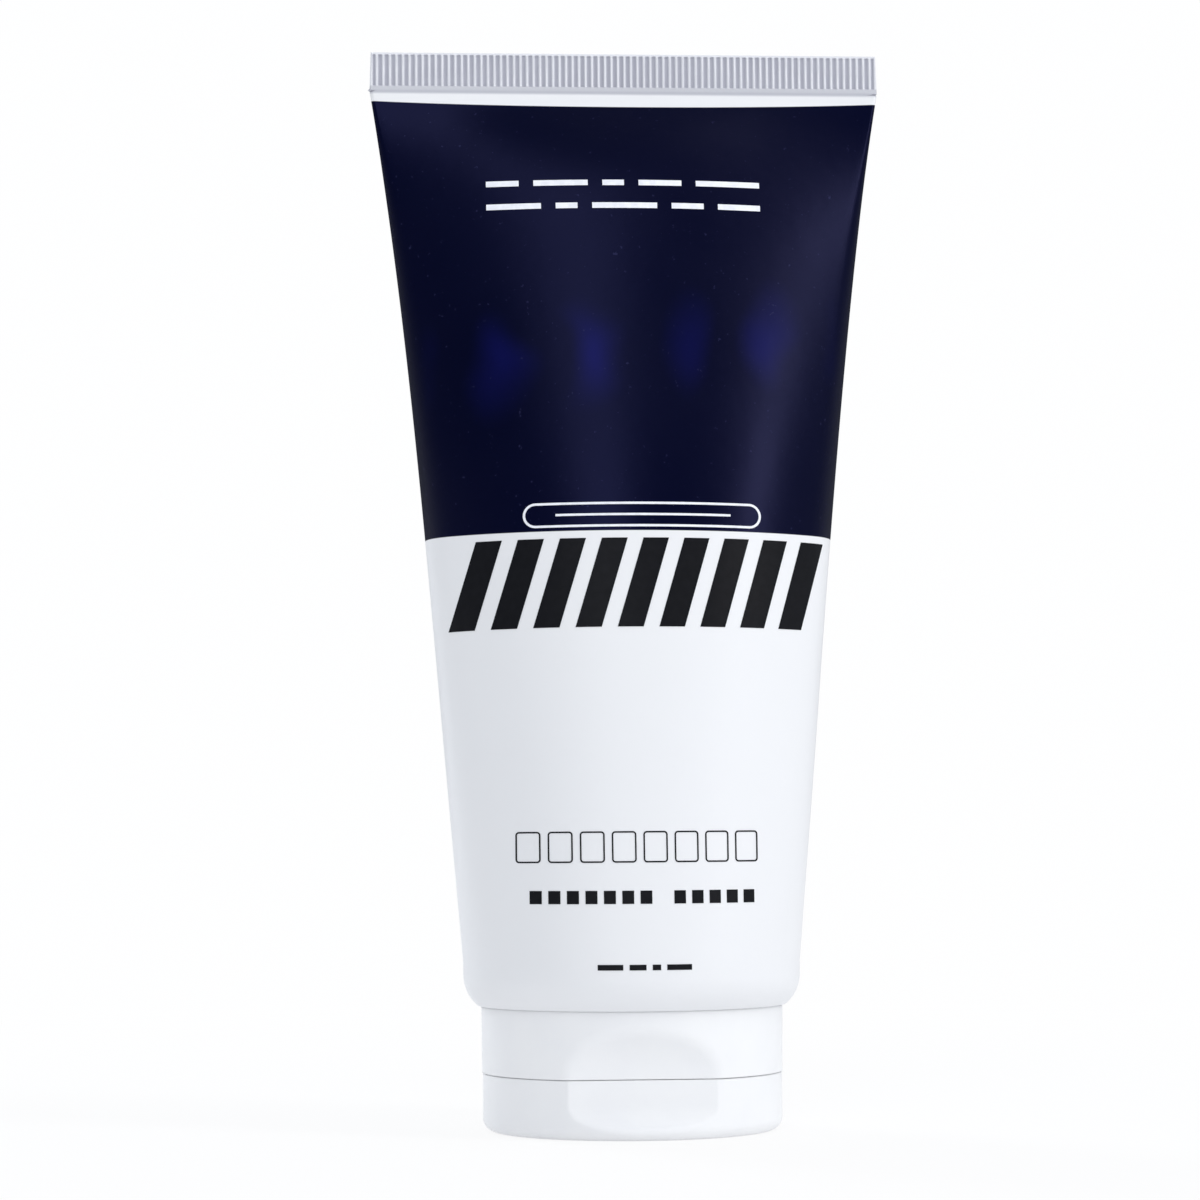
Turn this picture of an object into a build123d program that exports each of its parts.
from build123d import *
import math
import os

# A flat-crimped polyethylene squeeze tube of shaving cream that stands on its push-on flip-top cap.
# Lengths are millimetres and angles degrees. The origin is the centre of the cap's resting face.
# +Z runs up to the crimped end, the printed front faces -Y, and the lid's hinge is at the back, +Y.

# Tube sleeve: round at the shoulder, pressed flat at the crimp
SLEEVE_RADIUS = 25.4
SLEEVE_WALL = 0.5
CURL_RADIUS = 6.1
CURL_SWEEP = 50.0
CURL_Z = 23.4
ROUND_Z = 25.2
CRIMP_Z = 157.8
CRIMP_HALF_WIDTH = 39.1
CRIMP_HALF_THICKNESS = 0.6
STATIONS = (0.0, 0.05, 0.1, 0.2, 0.3, 0.4, 0.5, 0.6, 0.7, 0.8, 0.88, 0.94, 0.975, 1.0)
FIRST_JUNCTION = math.atan2(3, 4)

# How the section changes with the fraction t of the way from the round end to the crimp
WIDTH_LINEAR_SHARE = 0.84
WIDTH_END_POWER = 5
DEPTH_POWER = 0.48
DEPTH_END_LENGTH = 0.05
FOLD_RADIUS = 0.65
FOLD_POWER = 6
MAX_END_RADIUS_SHARE = 0.97

# Crimp: a plain strip under pressed ribs
TOTAL_HEIGHT = 164.0
PLAIN_STRIP = 1.0
RIB_PITCH = 1.0
RIB_COUNT = 78
RIB_CREST = 0.3
RIB_FLANK = 0.12
RIB_CREST_Y = 0.58
RIB_GROOVE_Y = 0.42

# Tube head: shoulder plate, neck and orifice web, welded inside the sleeve's curl
WELD_GAP = 0.05
HEAD_RIM_TOP = 25.0
HEAD_RIM_WALL = 1.0
SHOULDER_Z = 18.9
SHOULDER_THICKNESS = 1.4
NECK_RADIUS = 13.0
NECK_WALL = 1.5
NECK_END_Z = 10.6
WEB_THICKNESS = 1.4
ORIFICE_RADIUS = 4.0
BEAD_RADIUS = 13.7
BEAD_Z = (12.2, 13.4)
KEY_COUNT = 4
KEY_RADIUS = 13.9
KEY_WIDTH = 1.5
KEY_Z = (16.0, SHOULDER_Z)

# Cap: base and lid, one moulding joined by film hinges across a flat facet at the back
SEAM_Z = 8.7
SEAM_GAP = 0.08
CAP_WALL = 1.3
BASE_TOP_Z = 18.8
BASE_TOP_RADIUS = 22.7
BASE_LOW_RADIUS = 22.6
DECK_THICKNESS = 1.4
SKIRT_OUTER_RADIUS = 15.0
SKIRT_CLEARANCE = 0.15
SKIRT_TOP_Z = 17.6
GROOVE_CLEARANCE = 0.2
GUSSET_COUNT = 8
GUSSET_THICKNESS = 0.8
GUSSET_TOP_Z = 16.0
SPOUT_BORE_RADIUS = 3.25
SPOUT_OUTER_RADIUS = 4.6
SPOUT_END_Z = 7.2
RING_RADII = (19.9, 20.9)
RING_END_Z = 7.7
RING_FRONT_GAP = 26.0
RING_BACK_GAP = 18.0
FACET_Y = 21.9
PAD_WIDTH = 13.0
PAD_THICKNESS = 1.3

LID_RADIUS = 22.5
LID_FLOOR = 1.4
LID_EDGE_RADIUS = 1.9
DISH_RADIUS = 17.5
DISH_DEPTH = 0.3
PLUG_RADIUS = 3.15
PLUG_WALL = 0.95
PLUG_TOP_Z = 10.0

# Thumb recess across the front of base and lid
RECESS_BACK_Y = -19.7
BASE_SCOOP_RADIUS = 9.6
LID_COVE_RADIUS = 3.25
LID_COVE_Z = 5.0
RECESS_SPAN = 40.0
BASE_SCOOP_BLEND = 3.5
LID_COVE_BLEND = 0.8
SOFT_EDGE = 0.3

# Film hinges and the spring strap between them
HINGE_Y = 22.25
FILM_FACE_GAP = 0.02
FILM_AXIS_GAP = 0.03
FILM_X = (2.6, 5.2)
FILM_HALF_HEIGHT = 1.1
FILM_NECK = 0.12
STRAP_HALF_WIDTH = 2.2
STRAP_HALF_HEIGHT = 2.7
STRAP_WAIST = 1.5

# Cream: 180 ml, with clearance to the walls that hold it
CREAM_CLEARANCE = 0.1
CREAM_TOP_Z = 123.0
CREAM_LAST_T = 0.975
CREAM_END_Z = 10.7


def oval_size(t):
    """Half width, half depth and end-arc radius of the sleeve's outside at the fraction t."""
    widening = WIDTH_LINEAR_SHARE * t + (1 - WIDTH_LINEAR_SHARE) * t**WIDTH_END_POWER
    half_width = SLEEVE_RADIUS + (CRIMP_HALF_WIDTH - SLEEVE_RADIUS) * widening
    flattening = (1 - t) ** DEPTH_POWER * (1 - math.exp(-(1 - t) / DEPTH_END_LENGTH))
    half_depth = CRIMP_HALF_THICKNESS + (SLEEVE_RADIUS - CRIMP_HALF_THICKNESS) * flattening
    end_radius = half_depth**2 / half_width + FOLD_RADIUS * t**FOLD_POWER
    return half_width, half_depth, min(end_radius, MAX_END_RADIUS_SHARE * half_depth)


def oval_section(t, inset=0.0):
    """The sleeve's section at the fraction t: four tangent arcs, moved inwards by inset."""
    half_width, half_depth, end_radius = oval_size(t)
    end_centre = half_width - end_radius
    side_centre = 0.0
    junction = FIRST_JUNCTION
    if t == 0:
        end_centre = 0.0
        end_radius = half_width
    else:
        rise = half_depth - end_radius
        side_centre = (end_centre**2 - rise**2) / (2 * rise)
        junction = math.atan2(side_centre, end_centre)
    turn = math.degrees(junction)
    end_arc = end_radius - inset
    side_arc = half_depth + side_centre - inset
    height = ROUND_Z + t * (CRIMP_Z - ROUND_Z)
    with BuildSketch(Plane.XY.offset(height)) as section:
        with BuildLine():
            CenterArc((end_centre, 0), end_arc, -turn, 2 * turn)
            CenterArc((0, -side_centre), side_arc, turn, 180 - 2 * turn)
            CenterArc((-end_centre, 0), end_arc, 180 - turn, 2 * turn)
            CenterArc((0, side_centre), side_arc, 180 + turn, 180 - 2 * turn)
        make_face()
    return section.sketch


def rib_outline():
    """Points of the ribbed slab's outline: the ribs of one face, then those of the other."""
    face = []
    for index in range(RIB_COUNT):
        middle = (index - (RIB_COUNT - 1) / 2) * RIB_PITCH
        for x in (-RIB_CREST / 2, RIB_CREST / 2):
            foot = x + math.copysign(RIB_FLANK, x)
            pair = [(middle + foot, RIB_GROOVE_Y), (middle + x, RIB_CREST_Y)]
            face.extend(pair if x < 0 else reversed(pair))
    return face + [(x, -y) for x, y in reversed(face)]


def arc_point(radius, angle):
    """A point on an arc about the curl's centre, at an angle below the horizontal."""
    turn = math.radians(angle)
    curl_x = SLEEVE_RADIUS - CURL_RADIUS
    return (curl_x + radius * math.cos(turn), CURL_Z - radius * math.sin(turn))


def angle_at(radius, height):
    """The angle below the horizontal where an arc about the curl's centre reaches a height."""
    return math.degrees(math.asin((CURL_Z - height) / radius))


os.makedirs("parts", exist_ok=True)

# ---- Tube sleeve ----
with BuildPart() as tube_sleeve:
    loft(sections=[oval_section(t) for t in STATIONS])
    loft(sections=[oval_section(t, SLEEVE_WALL) for t in STATIONS], mode=Mode.SUBTRACT)
    with BuildSketch(Plane.XZ):
        with BuildLine():
            inner_curl = CURL_RADIUS - SLEEVE_WALL
            outer_end = arc_point(CURL_RADIUS, CURL_SWEEP)
            inner_end = arc_point(inner_curl, CURL_SWEEP)
            Line((SLEEVE_RADIUS, ROUND_Z), (SLEEVE_RADIUS, CURL_Z))
            ThreePointArc((SLEEVE_RADIUS, CURL_Z), arc_point(CURL_RADIUS, CURL_SWEEP / 2), outer_end)
            Line(outer_end, inner_end)
            inner_start = arc_point(inner_curl, 0)
            ThreePointArc(inner_end, arc_point(inner_curl, CURL_SWEEP / 2), inner_start)
            Line(inner_start, (inner_start[0], ROUND_Z))
            Line((inner_start[0], ROUND_Z), (SLEEVE_RADIUS, ROUND_Z))
        make_face()
    revolve(axis=Axis.Z)
    extrude(oval_section(1.0), amount=PLAIN_STRIP)
    with BuildSketch(Plane.XY.offset(CRIMP_Z + PLAIN_STRIP)):
        with BuildLine():
            Polyline(*rib_outline(), close=True)
        make_face()
    extrude(amount=TOTAL_HEIGHT - CRIMP_Z - PLAIN_STRIP)
tube_sleeve.part.label = "tube_sleeve"
export_step(tube_sleeve.part, "parts/tube_sleeve.step")

# ---- Tube head ----
with BuildPart() as tube_head:
    with BuildSketch(Plane.XZ):
        with BuildLine():
            rim_outer = CURL_RADIUS - SLEEVE_WALL - WELD_GAP
            rim_inner = rim_outer - HEAD_RIM_WALL
            shoulder_top = SHOULDER_Z + SHOULDER_THICKNESS
            low_turn = angle_at(rim_outer, SHOULDER_Z)
            high_turn = angle_at(rim_inner, shoulder_top)
            low_corner = arc_point(rim_outer, low_turn)
            high_corner = arc_point(rim_inner, high_turn)
            rim_low = arc_point(rim_outer, 0)
            rim_high = arc_point(rim_inner, 0)
            neck_inner = NECK_RADIUS - NECK_WALL
            web_top = NECK_END_Z + WEB_THICKNESS
            Line((NECK_RADIUS, SHOULDER_Z), low_corner)
            ThreePointArc(low_corner, arc_point(rim_outer, low_turn / 2), rim_low)
            Polyline(rim_low, (rim_low[0], HEAD_RIM_TOP), (rim_high[0], HEAD_RIM_TOP), rim_high)
            ThreePointArc(rim_high, arc_point(rim_inner, high_turn / 2), high_corner)
            Polyline(
                high_corner,
                (neck_inner, shoulder_top),
                (neck_inner, web_top),
                (ORIFICE_RADIUS, web_top),
                (ORIFICE_RADIUS, NECK_END_Z),
                (NECK_RADIUS, NECK_END_Z),
                (NECK_RADIUS, BEAD_Z[0]),
                (BEAD_RADIUS, sum(BEAD_Z) / 2),
                (NECK_RADIUS, BEAD_Z[1]),
                (NECK_RADIUS, SHOULDER_Z),
            )
        make_face()
    revolve(axis=Axis.Z)
    with BuildSketch(Plane.XY.offset(KEY_Z[0])):
        with PolarLocations(0, KEY_COUNT):
            with Locations(((neck_inner + KEY_RADIUS) / 2 + NECK_WALL / 4, 0)):
                Rectangle(KEY_RADIUS - neck_inner - NECK_WALL / 2, KEY_WIDTH)
    extrude(amount=KEY_Z[1] - KEY_Z[0])
tube_head.part.label = "tube_head"
export_step(tube_head.part, "parts/tube_head.step")

# ---- Cap base ----
deck_top = SEAM_Z + SEAM_GAP / 2 + DECK_THICKNESS
base_low = SEAM_Z + SEAM_GAP / 2
scoop_centre_y = RECESS_BACK_Y - BASE_SCOOP_RADIUS

with BuildPart() as thumb_scoop:
    with BuildSketch(Plane.YZ):
        with Locations((scoop_centre_y, SEAM_Z)):
            Circle(BASE_SCOOP_RADIUS)
    extrude(amount=RECESS_SPAN / 2, both=True)

with BuildPart() as base_hollow:
    with BuildSketch(Plane.XY.offset(deck_top)):
        Circle(BASE_LOW_RADIUS - CAP_WALL)
    extrude(amount=BASE_TOP_Z - deck_top)
    with BuildSketch(Plane.YZ):
        with Locations((scoop_centre_y, SEAM_Z)):
            Circle(BASE_SCOOP_RADIUS + CAP_WALL)
    extrude(amount=RECESS_SPAN / 2, both=True, mode=Mode.SUBTRACT)
    with BuildSketch(Plane.XY.offset(deck_top)):
        with Locations((0, FACET_Y)):
            Rectangle(PAD_WIDTH, 2 * PAD_THICKNESS)
    extrude(amount=BASE_TOP_Z - deck_top, mode=Mode.SUBTRACT)

with BuildPart() as cap_base:
    with BuildSketch(Plane.XZ):
        with BuildLine():
            corners = (
                (0, base_low),
                (BASE_LOW_RADIUS, base_low),
                (BASE_TOP_RADIUS, BASE_TOP_Z),
                (0, BASE_TOP_Z),
            )
            Polyline(*corners, close=True)
        make_face()
    revolve(axis=Axis.Z)
    top_rim = cap_base.edges().group_by(Axis.Z)[-1]
    fillet(top_rim, SOFT_EDGE)
    add(thumb_scoop.part, mode=Mode.SUBTRACT)
    scoop_wall = cap_base.faces().filter_by(GeomType.CYLINDER)[0]
    fillet(scoop_wall.edges().filter_by(GeomType.BSPLINE), BASE_SCOOP_BLEND)
    add(base_hollow.part, mode=Mode.SUBTRACT)
    with BuildSketch(Plane.XY.offset(deck_top)):
        Circle(SKIRT_OUTER_RADIUS)
        Circle(NECK_RADIUS + SKIRT_CLEARANCE, mode=Mode.SUBTRACT)
    extrude(amount=SKIRT_TOP_Z - deck_top)
    with BuildSketch(Plane.XY.offset(deck_top)):
        with PolarLocations(0, GUSSET_COUNT, start_angle=180 / GUSSET_COUNT):
            with Locations(((SKIRT_OUTER_RADIUS + BASE_LOW_RADIUS - CAP_WALL) / 2, 0)):
                Rectangle(BASE_LOW_RADIUS - CAP_WALL - SKIRT_OUTER_RADIUS + 1, GUSSET_THICKNESS)
    extrude(amount=GUSSET_TOP_Z - deck_top)
    with BuildSketch(Plane.XY.offset(BEAD_Z[0] - GROOVE_CLEARANCE)):
        Circle(BEAD_RADIUS + GROOVE_CLEARANCE)
        Circle(NECK_RADIUS, mode=Mode.SUBTRACT)
    extrude(amount=BEAD_Z[1] - BEAD_Z[0] + 2 * GROOVE_CLEARANCE, mode=Mode.SUBTRACT)
    with BuildSketch(Plane.XY.offset(KEY_Z[0] - GROOVE_CLEARANCE)):
        with PolarLocations(0, KEY_COUNT):
            with Locations(((NECK_RADIUS + KEY_RADIUS + GROOVE_CLEARANCE) / 2, 0)):
                Rectangle(KEY_RADIUS + GROOVE_CLEARANCE - NECK_RADIUS, KEY_WIDTH + 2 * GROOVE_CLEARANCE)
    extrude(amount=BASE_TOP_Z - KEY_Z[0], mode=Mode.SUBTRACT)
    with BuildSketch(Plane.XY.offset(RING_END_Z)):
        Circle(RING_RADII[1])
        Circle(RING_RADII[0], mode=Mode.SUBTRACT)
        with Locations((0, -RING_RADII[1])):
            Rectangle(RING_FRONT_GAP, RING_RADII[1], mode=Mode.SUBTRACT)
        with Locations((0, RING_RADII[1])):
            Rectangle(RING_BACK_GAP, RING_RADII[1], mode=Mode.SUBTRACT)
    extrude(amount=base_low - RING_END_Z)
    with BuildSketch(Plane.XY.offset(SPOUT_END_Z)):
        Circle(SPOUT_OUTER_RADIUS)
    extrude(amount=base_low - SPOUT_END_Z)
    spout_edge = cap_base.edges().group_by(Axis.Z)[0]
    fillet(spout_edge, SOFT_EDGE)
    with BuildSketch(Plane.XY.offset(SPOUT_END_Z)):
        Circle(SPOUT_BORE_RADIUS)
    extrude(amount=deck_top - SPOUT_END_Z, mode=Mode.SUBTRACT)
    add(thumb_scoop.part, mode=Mode.SUBTRACT)
    with BuildSketch(Plane.XY.offset(SPOUT_END_Z)):
        with Locations((0, FACET_Y + CAP_WALL)):
            Rectangle(RECESS_SPAN, 2 * CAP_WALL)
    extrude(amount=BASE_TOP_Z - SPOUT_END_Z, mode=Mode.SUBTRACT)
cap_base.part.label = "cap_base"
export_step(cap_base.part, "parts/cap_base.step")

# ---- Flip lid ----
lid_top = SEAM_Z - SEAM_GAP / 2
lid_inner_radius = LID_RADIUS - CAP_WALL
cove_centre_y = RECESS_BACK_Y - LID_COVE_RADIUS


def lid_recess_outline(backing):
    """The lid's thumb recess seen from the side, grown by the thickness of wall behind it."""
    back = RECESS_BACK_Y + backing
    cove = LID_COVE_RADIUS + backing
    diagonal = cove * math.sqrt(0.5)
    with BuildSketch(Plane.YZ) as outline:
        with BuildLine():
            Line((back, SEAM_Z), (back, LID_COVE_Z))
            ThreePointArc(
                (back, LID_COVE_Z),
                (cove_centre_y + diagonal, LID_COVE_Z - diagonal),
                (cove_centre_y, LID_COVE_Z - cove),
            )
            Polyline(
                (cove_centre_y, LID_COVE_Z - cove),
                (-RECESS_SPAN, LID_COVE_Z - cove),
                (-RECESS_SPAN, SEAM_Z),
                (back, SEAM_Z),
            )
        make_face()
    return outline.sketch


with BuildPart() as lid_hollow:
    with BuildSketch(Plane.XY.offset(LID_FLOOR)):
        Circle(lid_inner_radius)
    extrude(amount=lid_top - LID_FLOOR)
    extrude(lid_recess_outline(CAP_WALL), amount=RECESS_SPAN / 2, both=True, mode=Mode.SUBTRACT)
    with BuildSketch(Plane.XY.offset(LID_FLOOR)):
        with Locations((0, FACET_Y)):
            Rectangle(PAD_WIDTH, 2 * PAD_THICKNESS)
    extrude(amount=lid_top - LID_FLOOR, mode=Mode.SUBTRACT)

with BuildPart() as flip_lid:
    with BuildSketch(Plane.XZ):
        with BuildLine():
            edge_start = (LID_RADIUS - LID_EDGE_RADIUS, 0)
            edge_end = (LID_RADIUS, LID_EDGE_RADIUS)
            Polyline((0, lid_top), (0, DISH_DEPTH), (DISH_RADIUS, DISH_DEPTH))
            Polyline((DISH_RADIUS, DISH_DEPTH), (DISH_RADIUS + DISH_DEPTH, 0), edge_start)
            RadiusArc(edge_start, edge_end, -LID_EDGE_RADIUS)
            Polyline(edge_end, (LID_RADIUS, lid_top), (0, lid_top))
        make_face()
    revolve(axis=Axis.Z)
    extrude(lid_recess_outline(0.0), amount=RECESS_SPAN / 2, both=True, mode=Mode.SUBTRACT)
    curved_edge = flip_lid.edges().filter_by(GeomType.BSPLINE)
    upright_edge = flip_lid.edges().filter_by(Axis.Z)
    fillet(curved_edge + upright_edge, LID_COVE_BLEND)
    add(lid_hollow.part, mode=Mode.SUBTRACT)
    with BuildSketch(Plane.XY.offset(LID_FLOOR)):
        Circle(PLUG_RADIUS)
    extrude(amount=PLUG_TOP_Z - LID_FLOOR)
    chamfer(flip_lid.edges().group_by(Axis.Z)[-1], SOFT_EDGE)
    with BuildSketch(Plane.XY.offset(LID_FLOOR)):
        Circle(PLUG_RADIUS - PLUG_WALL)
    extrude(amount=PLUG_TOP_Z - LID_FLOOR, mode=Mode.SUBTRACT)
    with BuildSketch(Plane.XY):
        with Locations((0, FACET_Y + CAP_WALL)):
            Rectangle(RECESS_SPAN, 2 * CAP_WALL)
    extrude(amount=lid_top, mode=Mode.SUBTRACT)
flip_lid.part.label = "flip_lid"
export_step(flip_lid.part, "parts/flip_lid.step")

# ---- Film hinges and spring strap ----
film_inner_y = FACET_Y + FILM_FACE_GAP
film_outer_y = HINGE_Y - FILM_AXIS_GAP


def film_profile():
    """A film hinge seen from the side, thinned to a neck at the fold line."""
    low = SEAM_Z - FILM_HALF_HEIGHT
    high = SEAM_Z + FILM_HALF_HEIGHT
    neck_y = film_outer_y - FILM_NECK
    with BuildSketch(Plane.YZ.offset(FILM_X[0])) as profile:
        with BuildLine():
            Polyline(
                (film_inner_y, low),
                (film_outer_y, low),
                (film_outer_y, high),
                (film_inner_y, high),
                (film_inner_y, SEAM_Z + SEAM_GAP),
                (neck_y, SEAM_Z),
                (film_inner_y, SEAM_Z - SEAM_GAP),
                close=True,
            )
        make_face()
    return profile.sketch


with BuildPart() as hinge_film_right:
    extrude(film_profile(), amount=FILM_X[1] - FILM_X[0])
hinge_film_right.part.label = "hinge_film_right"
export_step(hinge_film_right.part, "parts/hinge_film_right.step")

with BuildPart() as hinge_film_left:
    extrude(film_profile(), amount=FILM_X[1] - FILM_X[0])
    mirror(about=Plane.YZ, mode=Mode.REPLACE)
hinge_film_left.part.label = "hinge_film_left"
export_step(hinge_film_left.part, "parts/hinge_film_left.step")

with BuildPart() as hinge_spring_strap:
    with BuildSketch(Plane.XZ.offset(-film_inner_y)):
        with BuildLine():
            for side in (-1, 1):
                low_corner = (side * STRAP_HALF_WIDTH, SEAM_Z - STRAP_HALF_HEIGHT)
                high_corner = (side * STRAP_HALF_WIDTH, SEAM_Z + STRAP_HALF_HEIGHT)
                ThreePointArc(low_corner, (side * STRAP_WAIST, SEAM_Z), high_corner)
            for end in (-1, 1):
                end_z = SEAM_Z + end * STRAP_HALF_HEIGHT
                Line((-STRAP_HALF_WIDTH, end_z), (STRAP_HALF_WIDTH, end_z))
        make_face()
    extrude(amount=film_inner_y - film_outer_y)
hinge_spring_strap.part.label = "hinge_spring_strap"
export_step(hinge_spring_strap.part, "parts/hinge_spring_strap.step")

# ---- Cream ----
with BuildPart() as cream_fill:
    cream_stations = [t for t in STATIONS if t <= CREAM_LAST_T]
    cream_inset = SLEEVE_WALL + CREAM_CLEARANCE
    loft(sections=[oval_section(t, cream_inset) for t in cream_stations])
    split(bisect_by=Plane.XY.offset(CREAM_TOP_Z), keep=Keep.BOTTOM)
    with BuildSketch(Plane.XZ):
        with BuildLine():
            rim_radius = rim_inner - CREAM_CLEARANCE
            floor_z = shoulder_top + CREAM_CLEARANCE
            floor_turn = angle_at(rim_radius, floor_z)
            floor_corner = arc_point(rim_radius, floor_turn)
            bend_end = arc_point(rim_radius, 0)
            neck_fill = neck_inner - CREAM_CLEARANCE
            neck_floor = web_top + CREAM_CLEARANCE
            orifice_fill = ORIFICE_RADIUS - CREAM_CLEARANCE
            Polyline((0, ROUND_Z), (0, CREAM_END_Z), (orifice_fill, CREAM_END_Z))
            Polyline(
                (orifice_fill, CREAM_END_Z),
                (orifice_fill, neck_floor),
                (neck_fill, neck_floor),
                (neck_fill, floor_z),
                floor_corner,
            )
            ThreePointArc(floor_corner, arc_point(rim_radius, floor_turn / 2), bend_end)
            Polyline(bend_end, (bend_end[0], ROUND_Z), (0, ROUND_Z))
        make_face()
    revolve(axis=Axis.Z)
cream_fill.part.label = "cream_fill"
export_step(cream_fill.part, "parts/cream_fill.step")
